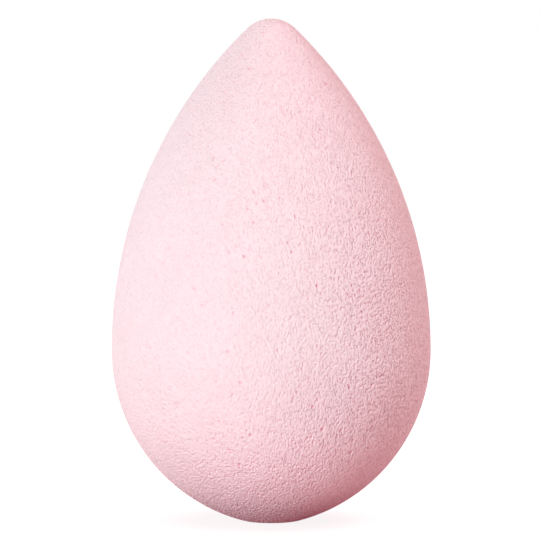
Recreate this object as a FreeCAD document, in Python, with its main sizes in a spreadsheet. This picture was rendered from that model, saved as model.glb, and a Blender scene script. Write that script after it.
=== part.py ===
# A teardrop makeup sponge: one piece of soft open-cell foam, ground all round to a pointed egg,
# with a small flat underneath on which it stands. Millimetres, +Z up, origin at the middle of the flat.
import FreeCAD, Part
import Sketcher
import math
import os

# Driving dimensions: name, value, what it measures on the sponge.
DIMENSIONS = (
    ("height", 60.0, "flat base to the top of the tip"),
    ("max_diameter", 38.1, "across the belly, the widest level"),
    ("belly_height", 20.5, "widest level above the flat base"),
    ("tip_radius", 4.1, "ball that rounds the pointed end"),
    ("base_diameter", 5.0, "flat that the sponge stands on"),
    ("base_edge_radius", 4.0, "soft edge between the flat and the dome"),
)
SHEET = "Dimensions"
FULL_TURN_DEGREES = 360

# Places on a line or an arc of the outline, then the outline's own origin.
START, END, CENTRE = range(1, 4)
ORIGIN = (-1, START)


def make_sheet(doc):
    """The driving dimensions, one to a row: what it measures, then the number under its name."""
    sheet = doc.addObject("Spreadsheet::Sheet", SHEET)
    for row, (name, value, meaning) in enumerate(DIMENSIONS, start=1):
        sheet.set(f"A{row}", meaning)
        sheet.set(f"B{row}", str(value))
        sheet.setAlias(f"B{row}", name)
    doc.recompute()
    return sheet


def belly_arc_radius(reach, rise, end_radius):
    """Radius of the arc that leaves the belly upright and runs smoothly into a smaller end arc.
    The end arc's centre lies this reach in from the belly, and its far side this rise from that level."""
    return (reach**2 + rise**2 - 2 * rise * end_radius) / (2 * (reach - end_radius))


def arc(x, y, radius, first_angle, last_angle):
    """An arc about (x, y) in the outline's plane, anticlockwise between two angles in radians."""
    circle = Part.Circle(FreeCAD.Vector(x, y), FreeCAD.Vector(0, 0, 1), radius)
    return Part.ArcOfCircle(circle, first_angle, last_angle)


def line(x1, y1, x2, y2):
    """A straight line in the outline's plane."""
    return Part.LineSegment(FreeCAD.Vector(x1, y1), FreeCAD.Vector(x2, y2))


def add_size(sketch, name, formula, *constraint):
    """A size of the outline that follows the sheet."""
    index = sketch.addConstraint(Sketcher.Constraint(*constraint))
    sketch.renameConstraint(index, name)
    sketch.setExpression(f"Constraints.{name}", f"{SHEET}.{formula}")


def draw_half_outline(sketch, sheet):
    """Half of the teardrop, from the base up: flat, soft edge, dome, flank and tip, closed along the axis.
    Each arc runs smoothly into the next, and dome and flank meet upright at the belly."""
    base_radius = sheet.base_diameter / 2
    belly_radius = sheet.max_diameter / 2
    edge_radius = sheet.base_edge_radius
    tip_centre = sheet.height - sheet.tip_radius
    dome_radius = belly_arc_radius(belly_radius - base_radius, sheet.belly_height, edge_radius)
    flank_radius = belly_arc_radius(belly_radius, sheet.height - sheet.belly_height, sheet.tip_radius)
    dome_centre = belly_radius - dome_radius
    flank_centre = belly_radius - flank_radius
    dome_angle = math.atan2(edge_radius - sheet.belly_height, base_radius - dome_centre)
    flank_angle = math.atan2(tip_centre - sheet.belly_height, -flank_centre)

    flat = sketch.addGeometry(line(0, 0, base_radius, 0))
    edge = sketch.addGeometry(arc(base_radius, edge_radius, edge_radius, -math.pi / 2, dome_angle))
    dome = sketch.addGeometry(arc(dome_centre, sheet.belly_height, dome_radius, dome_angle, 0))
    flank = sketch.addGeometry(arc(flank_centre, sheet.belly_height, flank_radius, 0, flank_angle))
    tip = sketch.addGeometry(arc(0, tip_centre, sheet.tip_radius, flank_angle, math.pi / 2))
    axis = sketch.addGeometry(line(0, sheet.height, 0, 0))

    sketch.addConstraint(
        [
            Sketcher.Constraint("Coincident", flat, START, *ORIGIN),
            Sketcher.Constraint("Horizontal", flat),
            Sketcher.Constraint("Tangent", flat, END, edge, START),
            Sketcher.Constraint("Tangent", edge, END, dome, START),
            Sketcher.Constraint("Horizontal", dome, CENTRE, dome, END),
            Sketcher.Constraint("Tangent", dome, END, flank, START),
            Sketcher.Constraint("Tangent", flank, END, tip, START),
            Sketcher.Constraint("Vertical", tip, CENTRE, *ORIGIN),
            Sketcher.Constraint("Coincident", tip, END, axis, START),
            Sketcher.Constraint("Coincident", axis, END, *ORIGIN),
            Sketcher.Constraint("Vertical", axis),
        ]
    )
    add_size(sketch, "base_radius", "base_diameter / 2", "DistanceX", *ORIGIN, flat, END, base_radius)
    add_size(sketch, "edge_round", "base_edge_radius", "Radius", edge, edge_radius)
    add_size(sketch, "belly_radius", "max_diameter / 2", "DistanceX", *ORIGIN, dome, END, belly_radius)
    add_size(sketch, "belly_level", "belly_height", "DistanceY", *ORIGIN, dome, END, sheet.belly_height)
    add_size(sketch, "tip_level", "height", "DistanceY", *ORIGIN, tip, END, sheet.height)
    add_size(sketch, "tip_round", "tip_radius", "Radius", tip, sheet.tip_radius)


def origin_plane(body, role):
    """One of the body's own origin planes."""
    return next(feature for feature in body.Origin.OriginFeatures if feature.Role == role)


def make_foam_body(doc, sheet):
    """The whole sponge: its half outline turned about the upright axis."""
    body = doc.addObject("PartDesign::Body", "FoamBody")
    body.Label = "foam_body"

    outline = body.newObject("Sketcher::SketchObject", "HalfOutline")
    outline.AttachmentSupport = (origin_plane(body, "XZ_Plane"), [""])
    outline.MapMode = "FlatFace"
    draw_half_outline(outline, sheet)

    teardrop = body.newObject("PartDesign::Revolution", "Teardrop")
    teardrop.Profile = outline
    teardrop.ReferenceAxis = (outline, ["V_Axis"])
    teardrop.Angle = FULL_TURN_DEGREES
    doc.recompute()
    return body


def check_document(doc, pieces):
    """Stops the build if any object failed, or a piece isn't one valid solid."""
    failed = [item.Name for item in doc.Objects if {"Invalid", "Error"} & set(item.State)]
    if failed:
        raise RuntimeError(f"objects failed to compute: {failed}")
    for piece in pieces:
        shape = piece.Shape
        if shape.isNull() or not shape.isValid() or len(shape.Solids) != 1:
            raise RuntimeError(f"{piece.Label} is not one valid solid")


def write_pieces(pieces):
    """One file per piece, named by its label."""
    os.makedirs("parts", exist_ok=True)
    for piece in pieces:
        piece.Shape.exportStep(f"parts/{piece.Label}.step")
        box = piece.Shape.BoundBox
        print(
            f"{piece.Label}: {box.XLength:.2f} x {box.YLength:.2f} x {box.ZLength:.2f} mm,"
            f" {piece.Shape.Volume:.0f} mm3, {piece.Shape.Area:.0f} mm2,"
            f" centre of mass {piece.Shape.CenterOfGravity.z:.2f} mm up"
        )


def main():
    doc = FreeCAD.newDocument("MakeupSponge")
    sheet = make_sheet(doc)
    pieces = [make_foam_body(doc, sheet)]
    check_document(doc, pieces)
    write_pieces(pieces)


main()
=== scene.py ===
# %% [markdown]
# # A makeup sponge in open-cell foam
#
# The sponge is one soft teardrop of pale pink foam, about as long as a thumb. Nothing on it moves and
# nothing is fastened to it, so this lesson is about two things: a clean mesh on a smooth shape, and a skin
# that is nothing but tiny cells cut open. The CAD solid gives the shape and the size. It is loaded first,
# and its box is kept, to size the mesh by it.

# %% Load the frame
import math

import bmesh
import bpy
from mathutils import Matrix, Vector, noise


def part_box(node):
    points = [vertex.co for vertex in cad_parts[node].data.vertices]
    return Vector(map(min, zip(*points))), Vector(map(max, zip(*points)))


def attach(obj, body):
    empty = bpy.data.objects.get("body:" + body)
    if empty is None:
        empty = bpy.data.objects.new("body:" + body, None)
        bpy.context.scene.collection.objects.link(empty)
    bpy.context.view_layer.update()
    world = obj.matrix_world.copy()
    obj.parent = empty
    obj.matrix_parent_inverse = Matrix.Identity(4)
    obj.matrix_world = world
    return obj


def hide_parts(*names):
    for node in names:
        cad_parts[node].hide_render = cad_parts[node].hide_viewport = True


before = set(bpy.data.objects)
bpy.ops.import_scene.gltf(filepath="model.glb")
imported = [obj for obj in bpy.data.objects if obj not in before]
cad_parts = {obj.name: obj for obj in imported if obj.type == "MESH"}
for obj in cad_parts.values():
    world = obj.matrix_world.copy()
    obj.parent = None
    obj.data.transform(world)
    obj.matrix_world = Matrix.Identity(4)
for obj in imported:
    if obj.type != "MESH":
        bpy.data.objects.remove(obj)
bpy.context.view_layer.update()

MM = 0.001
low_corner, high_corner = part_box("foam_body")
sponge_size = high_corner - low_corner
sponge_middle = (low_corner + high_corner) / 2
print("CAD sponge in mm:", [round(side / MM, 2) for side in sponge_size])

# %% [markdown]
# ## Camera
#
# The photograph looks straight at the sponge, hardly above the table, through a long lens: its two sides
# show the same curve, and the tip isn't drawn smaller. A short lens close by would make the belly swell.
# A long lens stands far back, so its distance follows from the width of the view at the sponge.

# %% Set up the camera
VIEW_WIDTH = 64.55 * MM
LENS_MM = 200.0
SENSOR_MM = 36.0
CAMERA_ELEVATION = math.radians(2.0)
AIM_SIDE = -0.14 * MM
AIM_UP = 0.03 * MM

camera_data = bpy.data.cameras.new("camera")
camera_data.lens = LENS_MM
camera_data.sensor_width = SENSOR_MM
camera = bpy.data.objects.new("camera", camera_data)
bpy.context.scene.collection.objects.link(camera)
bpy.context.scene.camera = camera

aim = sponge_middle + Vector((AIM_SIDE, 0, AIM_UP))
camera_distance = VIEW_WIDTH * LENS_MM / SENSOR_MM
towards_camera = Vector((0, -math.cos(CAMERA_ELEVATION), math.sin(CAMERA_ELEVATION)))
camera.location = aim + towards_camera * camera_distance
camera.rotation_euler = (-towards_camera).to_track_quat("-Z", "Y").to_euler()
print("camera stands", round(camera_distance / MM), "mm from the sponge")

# %% [markdown]
# ## Light from all round
#
# The ground of the picture is white and the shade is soft, as in a tent of white cloth. The tent could be
# built as a mesh, but the world's background does the same with one colour. The camera has to see white
# there, and as much light on the sponge would wash its shape out. The Light Path node tells the two apart:
# the camera and any reflection see white, while the sponge gets a weak rosy light. It is rosy because light
# that has seeped through pink foam comes out redder, which keeps the shade of a sponge warm. Subsurface
# scattering is Blender's own tool for that, but over a relief as fine as this one it came out in blotches,
# so the fill light does its work.

# %% Node helpers
MIX_SHARE, MIX_FIRST, MIX_SECOND, MIX_RESULT = 0, 6, 7, 2


def add_node(tree, kind, inputs=None, **settings):
    """A node with its settings and its inputs filled in. A socket given as an input is linked."""
    node = tree.nodes.new(kind)
    for name, value in settings.items():
        setattr(node, name, value)
    for name, value in (inputs or {}).items():
        if isinstance(value, bpy.types.NodeSocket):
            tree.links.new(value, node.inputs[name])
        else:
            node.inputs[name].default_value = value
    return node


def blend(tree, share, first, second):
    """The first colour where the share is 0, the second where it is 1, and a mixture in between."""
    inputs = {MIX_SHARE: share, MIX_FIRST: first, MIX_SECOND: second}
    return add_node(tree, "ShaderNodeMix", inputs, data_type="RGBA").outputs[MIX_RESULT]


def seen_directly(tree):
    """1 for rays that show the studio itself, in the picture or in a reflection, and 0 for its light."""
    path = add_node(tree, "ShaderNodeLightPath")
    seen = path.outputs["Is Camera Ray"]
    for kind in ("Is Glossy Ray", "Is Transmission Ray"):
        either = add_node(tree, "ShaderNodeMath", {0: seen, 1: path.outputs[kind]}, operation="MAXIMUM")
        seen = either.outputs[0]
    return seen


# %% World light
WHITE = (1, 1, 1, 1)
FILL_LIGHT = (0.366, 0.198, 0.206, 1)

world = bpy.data.worlds.new("studio")
world.use_nodes = True
world_tree = world.node_tree
world_tree.nodes.clear()
world_output = world_tree.nodes.new("ShaderNodeOutputWorld")
around_colour = blend(world_tree, seen_directly(world_tree), FILL_LIGHT, WHITE)
around = add_node(world_tree, "ShaderNodeBackground", {"Color": around_colour, "Strength": 1.0})
world_tree.links.new(around.outputs[0], world_output.inputs["Surface"])
bpy.context.scene.world = world
bpy.context.scene.view_settings.view_transform = "Standard"
print("light from all round:", FILL_LIGHT[:3], "and white for the camera")

# %% [markdown]
# ## Soft lamps
#
# One large lamp a little to the left of the camera lights the front. A second, behind the left side, keeps
# that edge pale, and a third, high on the right, gives the shaded flank enough light to show its grain.
# A point lamp or a sun would fill each pit with a hard black shadow, so these are wide square area lamps.
# The first two are short of red, which the rosy light from all round makes up for: on the lit side the sum
# is near white.

# %% Set up the lamps
LAMP_SIZE = 200 * MM
LAMP_DISTANCE = 450 * MM
FRONT_LAMP = {"azimuth": -26, "elevation": 11, "level": 0.97, "red": 0.68}
LEFT_LAMP = {"azimuth": -127, "elevation": 8, "level": 0.49, "red": 0.68}
TOP_LAMP = {"azimuth": 90, "elevation": 45, "level": 0.51, "red": 1.0}


def add_lamp(name, azimuth, elevation, level, red):
    """A square soft lamp aimed at the sponge, with its angles in degrees, counted from the camera's side.
    At level 1 and red 1, a white surface that faces the lamp is lit just to white."""
    turn, rise = math.radians(azimuth), math.radians(elevation)
    flat_share = math.cos(rise)
    towards_lamp = Vector((math.sin(turn) * flat_share, -math.cos(turn) * flat_share, math.sin(rise)))
    data = bpy.data.lights.new(name, "AREA")
    data.shape = "SQUARE"
    data.size = LAMP_SIZE
    data.color = (red, 1, 1)
    data.energy = level * (math.pi * LAMP_DISTANCE) ** 2
    lamp = bpy.data.objects.new(name, data)
    lamp.location = sponge_middle + towards_lamp * LAMP_DISTANCE
    lamp.rotation_euler = (-towards_lamp).to_track_quat("-Z", "Y").to_euler()
    bpy.context.scene.collection.objects.link(lamp)
    print(name, "at", [round(place / MM) for place in lamp.location], "mm,", round(data.energy, 2), "W")


add_lamp("front_lamp", **FRONT_LAMP)
add_lamp("left_lamp", **LEFT_LAMP)
add_lamp("top_lamp", **TOP_LAMP)

# %% [markdown]
# ## Floor
#
# The sponge stands on a sheet of paper that shows as white. A sheet that also lit the sponge like white
# paper would wash out the dark line where it touches the floor, and the whole underside with it. So the
# floor has three parts. Its matt paper takes the shadow, and is painted dark under the foot and paler
# further out: painted shade, which keeps the sponge's underside dark where it stands. At both sides it
# gives a faint light that lifts the lower flanks, rosy for the same reason as the light from all round.
# Only the camera and reflections see the white glow on top, which leaves a faint shadow.

# %% Floor sheet
FLOOR_SIZE = 3.0

floor_mesh = bpy.data.meshes.new("floor")
floor_shape = bmesh.new()
bmesh.ops.create_grid(floor_shape, x_segments=1, y_segments=1, size=FLOOR_SIZE / 2)
floor_shape.to_mesh(floor_mesh)
floor_shape.free()
floor = bpy.data.objects.new("floor", floor_mesh)
bpy.context.scene.collection.objects.link(floor)
print("floor", FLOOR_SIZE, "m wide")

# %% Material helpers
def new_material(name):
    """An empty node material, with its tree and its output node."""
    material = bpy.data.materials.new(name)
    material.use_nodes = True
    tree = material.node_tree
    tree.nodes.clear()
    return material, tree, tree.nodes.new("ShaderNodeOutputMaterial")


def ramp(tree, value, start, end, low=0.0, high=1.0):
    """A number that goes from low to high while the value goes from start to end, and stays put outside."""
    limits = {"From Min": start, "From Max": end, "To Min": low, "To Max": high}
    return add_node(tree, "ShaderNodeMapRange", {"Value": value, **limits}).outputs[0]


# %% Floor paper
# Painted shade: the paper under the foot is dark, so that little light comes up onto the sponge's
# underside.
NEAR_SHADE_PAPER = (0.16, 0.08, 0.085, 1)
FAR_PAPER = (0.55, 0.40, 0.415, 1)
NEAR_PAPER_REACH, FAR_PAPER_REACH = 9 * MM, 22 * MM

floor_paint, floor_tree, floor_output = new_material("floor_paper")
floor_mesh.materials.append(floor_paint)
floor_places = add_node(floor_tree, "ShaderNodeTexCoord").outputs["Object"]
axis_distance = add_node(floor_tree, "ShaderNodeVectorMath", {0: floor_places}, operation="LENGTH")
from_axis = axis_distance.outputs["Value"]
paper_share = ramp(floor_tree, from_axis, NEAR_PAPER_REACH, FAR_PAPER_REACH)
paper_and_foot_shade = blend(floor_tree, paper_share, NEAR_SHADE_PAPER, FAR_PAPER)
paper = add_node(floor_tree, "ShaderNodeBsdfDiffuse", {"Color": paper_and_foot_shade})
print("paper pales from", NEAR_PAPER_REACH / MM, "to", FAR_PAPER_REACH / MM, "mm out from the axis")

# %% Floor light and white ground
BLACK = (0, 0, 0, 1)
MIDDLE_LIGHT = (0.207, 0.047, 0.075, 1)
SIDE_LIGHT = (0.37, 0.27, 0.28, 1)
MIDDLE_REACH, SIDE_REACH = 6 * MM, 30 * MM
FADE_REACH, DARK_REACH = 30 * MM, 70 * MM
NEAR_GLOW, FAR_GLOW = 0.88, 1.0
NEAR_GLOW_REACH, FAR_GLOW_REACH = 30 * MM, 90 * MM

floor_axes = add_node(floor_tree, "ShaderNodeSeparateXYZ", {0: floor_places})
aside = add_node(floor_tree, "ShaderNodeMath", {0: floor_axes.outputs["X"]}, operation="ABSOLUTE")
side_share = ramp(floor_tree, aside.outputs[0], MIDDLE_REACH, SIDE_REACH)
full_light = blend(floor_tree, side_share, MIDDLE_LIGHT, SIDE_LIGHT)
dark_share = ramp(floor_tree, from_axis, FADE_REACH, DARK_REACH)
floor_light = blend(floor_tree, dark_share, full_light, BLACK)
white_ground = ramp(floor_tree, from_axis, NEAR_GLOW_REACH, FAR_GLOW_REACH, NEAR_GLOW, FAR_GLOW)
glow_colour = blend(floor_tree, seen_directly(floor_tree), floor_light, white_ground)
glow = add_node(floor_tree, "ShaderNodeEmission", {"Color": glow_colour, "Strength": 1.0})
paper_and_glow = add_node(floor_tree, "ShaderNodeAddShader", {0: paper.outputs[0], 1: glow.outputs[0]})
floor_tree.links.new(paper_and_glow.outputs[0], floor_output.inputs["Surface"])
print("floor material:", len(floor_tree.nodes), "nodes")

# %% [markdown]
# ## The sponge's shape: a grid without poles
#
# The real sponge is ground from a block of foam, so it has no seam and no edge. A spun outline would have
# the right shape too, but its faces shrink to slivers at the tip and the base. This mesh begins as a cube,
# cut into a grid and blown up to a ball, which has no poles. The six sides of the cube also give six plain
# squares on the texture map. They are laid out while the cube still has six faces, because the cuts then
# carry the map along.

# %% Cut a cube into a fine grid, with a texture map of six squares
CUBE_SIZE = 2
GRID_SQUARES = 360
MAP_COLUMNS, MAP_ROWS = 3, 2
MAP_CORNERS = ((0, 0), (1, 0), (1, 1), (0, 1))
MAP_MARGIN_SHARE = 0.012

shape = bmesh.new()
bmesh.ops.create_cube(shape, size=CUBE_SIZE)
texture_map = shape.loops.layers.uv.new("OFBake")
for number, side in enumerate(shape.faces):
    column, row = number % MAP_COLUMNS, number // MAP_COLUMNS
    for loop, corner in zip(side.loops, MAP_CORNERS):
        across, up = [MAP_MARGIN_SHARE + (1 - 2 * MAP_MARGIN_SHARE) * place for place in corner]
        loop[texture_map].uv = ((column + across) / MAP_COLUMNS, (row + up) / MAP_ROWS)
bmesh.ops.subdivide_edges(shape, edges=shape.edges[:], cuts=GRID_SQUARES - 1, use_grid_fill=True)
print(len(shape.faces), "squares on the cube")

# %% Blow the cube up to a ball, as tall and as wide as the sponge
for vert in shape.verts:
    even = Vector(math.tan(place * math.pi / 4) for place in vert.co)
    vert.co = even.normalized()
stretch = Matrix.Diagonal((*(sponge_size / 2), 1))
bmesh.ops.transform(shape, matrix=Matrix.Translation(sponge_middle) @ stretch, verts=shape.verts)

ball_mesh = bpy.data.meshes.new("makeup_sponge")
shape.to_mesh(ball_mesh)
shape.free()
sponge = bpy.data.objects.new("makeup_sponge", ball_mesh)
bpy.context.scene.collection.objects.link(sponge)
print("ball with", len(ball_mesh.vertices), "points")

# %% [markdown]
# ## The sponge's shape: onto the solid
#
# The teardrop itself comes from the CAD solid. The outline could be drawn again here, but two drawings of
# one shape drift apart. A Shrinkwrap modifier moves each point of the ball to the nearest place on the
# solid, and its result is kept as the mesh. A few rounds of smoothing then even out the flat facets of the
# solid's mesh.

# %% Draw the ball onto the CAD solid
SMOOTHING_ROUNDS = 6
SMOOTHING_SHARE = 0.5
ALL_AXES = {"use_axis_x": True, "use_axis_y": True, "use_axis_z": True}

wrap = sponge.modifiers.new("onto_the_solid", "SHRINKWRAP")
wrap.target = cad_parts["foam_body"]
wrap.wrap_method = "NEAREST_SURFACEPOINT"
wrapped = sponge.evaluated_get(bpy.context.evaluated_depsgraph_get())
sponge_mesh = bpy.data.meshes.new_from_object(wrapped)
sponge.modifiers.clear()
sponge.data = sponge_mesh
shape = bmesh.new()
shape.from_mesh(sponge_mesh)
for _ in range(SMOOTHING_ROUNDS):
    bmesh.ops.smooth_vert(shape, verts=shape.verts, factor=SMOOTHING_SHARE, **ALL_AXES)
shape.normal_update()
steps = [edge.calc_length() / MM for edge in shape.edges]
print("grid on the sponge:", round(min(steps), 3), "to", round(max(steps), 3), "mm from point to point")

# %% [markdown]
# ## The cut cells
#
# Foam is full of bubbles. Grinding cuts through those that lie at the skin, some near their middle and some
# only at their top, so the skin is a close field of round pits of many widths. A noise texture would give
# lumps, not pits. Here Blender's Voronoi noise puts one point into each small cube of space, and a point
# with its own reach is a bubble: where the skin passes through it, a bowl is pressed in. Most bubbles are
# small, and a few are larger. The pits are real relief, so they are made in the mesh, which needs this fine
# grid. The depth of each point is kept on the mesh as well, in millimetres, for the material to use.

# %% Press the cut cells into the skin
CELL_SPACING = 0.21 * MM
CELL_REACHES = (0.07 * MM, 0.13 * MM)
BUBBLE_SPACING = 0.90 * MM
BUBBLE_REACHES = (0.0, 0.22 * MM)
BOWL_STEEPNESS = 1.65
CREST_RISE = 0.02 * MM
CHANCE_STEP = 7.13


def bowl_depth(place, spacing, reaches):
    """Depth of the bowl that a place lies in, or 0. There is one bubble to a cube of this spacing."""
    distances, centres = noise.voronoi(place / spacing)
    least, most = reaches
    chance = (1 + noise.cell(centres[0] * CHANCE_STEP)) / 2
    reach = least + (most - least) * chance
    distance = distances[0] * spacing
    if distance >= reach:
        return 0.0
    return BOWL_STEEPNESS * reach * (1 - (distance / reach) ** 2)


depth_layer = shape.verts.layers.float.new("pit_depth")
for vert in shape.verts:
    small_pit = bowl_depth(vert.co, CELL_SPACING, CELL_REACHES)
    large_pit = bowl_depth(vert.co, BUBBLE_SPACING, BUBBLE_REACHES)
    pit = max(small_pit, large_pit)
    vert[depth_layer] = pit / MM
    vert.co += vert.normal * (CREST_RISE - pit)
    vert.co.z = max(vert.co.z, low_corner.z)
depths = [vert[depth_layer] for vert in shape.verts]
shape.to_mesh(sponge_mesh)
shape.free()
sponge_mesh.shade_smooth()
print("pits:", round(sum(depths) / len(depths), 3), "mm deep on average,", round(max(depths), 3), "at most")

# %% [markdown]
# ## The foam's colour
#
# The foam is dyed through, a little unevenly, so a soft noise several millimetres wide shifts the pink by a
# trace. Down in a pit, light goes from wall to wall and turns a deeper pink each time. The renderer follows
# those bounces only in part, so the rest is painted shade: by the depth that was kept on the mesh, the
# deeper a place lies, the larger its share of a darker, deeper pink. The noise reads Object coordinates,
# turned into millimetres, so it stays on the sponge wherever the sponge goes.

# %% Mix the foam's colour
PALE_WALL = (0.935, 0.672, 0.702, 1)
DEEP_WALL = (0.925, 0.648, 0.678, 1)
# Painted shade: the pits get a darker, deeper pink, for the bounced light and shade down in them.
PIT_SHADE_COLOUR = (0.91, 0.27, 0.38, 1)
FULL_PIT_SHADE_MM = 0.65
MOTTLE_PER_MM = 0.18
MOTTLE_DETAIL = 3.0
MOTTLE_LOW, MOTTLE_HIGH = 0.35, 0.65

foam, foam_tree, foam_output = new_material("pink_foam")
places = add_node(foam_tree, "ShaderNodeTexCoord").outputs["Object"]
to_mm = {0: places, "Scale": 1 / MM}
in_mm = add_node(foam_tree, "ShaderNodeVectorMath", to_mm, operation="SCALE").outputs[0]
mottle_settings = {"Vector": in_mm, "Scale": MOTTLE_PER_MM, "Detail": MOTTLE_DETAIL}
mottle = add_node(foam_tree, "ShaderNodeTexNoise", mottle_settings).outputs["Fac"]
deep_share = ramp(foam_tree, mottle, MOTTLE_LOW, MOTTLE_HIGH)
wall_colour = blend(foam_tree, deep_share, PALE_WALL, DEEP_WALL)
# Painted shade: the deeper a place lies in a pit, the more of the darker pink it takes.
pit_depth = add_node(foam_tree, "ShaderNodeAttribute", attribute_name="pit_depth").outputs["Fac"]
pit_shade_share = ramp(foam_tree, pit_depth, 0.0, FULL_PIT_SHADE_MM)
dye_and_pit_shade = blend(foam_tree, pit_shade_share, wall_colour, PIT_SHADE_COLOUR)
print("mottle about", round(1 / MOTTLE_PER_MM, 1), "mm wide")

# %% [markdown]
# ## The foam's surface
#
# Dry foam is matt, and a trace smoother on the crests, which the grinding rubbed, than in the pits. The
# walls between the pits carry a grain of their own. It is too shallow to show in the outline, so bump is
# enough for it, from a Voronoi pattern like that of the cells. Seen at a flat angle, the cut walls catch
# light, and a weak sheen stands for that along the edges. It is the same all over, so it is set on the
# shader itself.

# %% Finish the foam
GRAIN_PER_MM = 4.5
GRAIN_DEPTH = 0.04 * MM
CREST_ROUGHNESS, PIT_ROUGHNESS = 0.84, 0.96
FULL_ROUGH_MM = 0.25
SPECULAR_LEVEL = 0.25
SHEEN_WEIGHT, SHEEN_ROUGHNESS = 0.12, 0.5
SHEEN_TINT = (1.0, 0.75, 0.78, 1)

grain = add_node(foam_tree, "ShaderNodeTexVoronoi", {"Vector": in_mm, "Scale": GRAIN_PER_MM})
bump_settings = {"Height": grain.outputs["Distance"], "Distance": GRAIN_DEPTH, "Strength": 1.0}
bump = add_node(foam_tree, "ShaderNodeBump", bump_settings)
skin_settings = {
    "Base Color": dye_and_pit_shade,
    "Roughness": ramp(foam_tree, pit_depth, 0.0, FULL_ROUGH_MM, CREST_ROUGHNESS, PIT_ROUGHNESS),
    "Normal": bump.outputs[0],
    "Specular IOR Level": SPECULAR_LEVEL,
    "Sheen Weight": SHEEN_WEIGHT,
    "Sheen Tint": SHEEN_TINT,
    "Sheen Roughness": SHEEN_ROUGHNESS,
}
skin = add_node(foam_tree, "ShaderNodeBsdfPrincipled", skin_settings)
foam_tree.links.new(skin.outputs[0], foam_output.inputs["Surface"])
sponge_mesh.materials.append(foam)
print("foam material:", len(foam_tree.nodes), "nodes")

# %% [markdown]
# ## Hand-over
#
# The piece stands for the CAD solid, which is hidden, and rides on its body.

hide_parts("foam_body")
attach(sponge, "root")
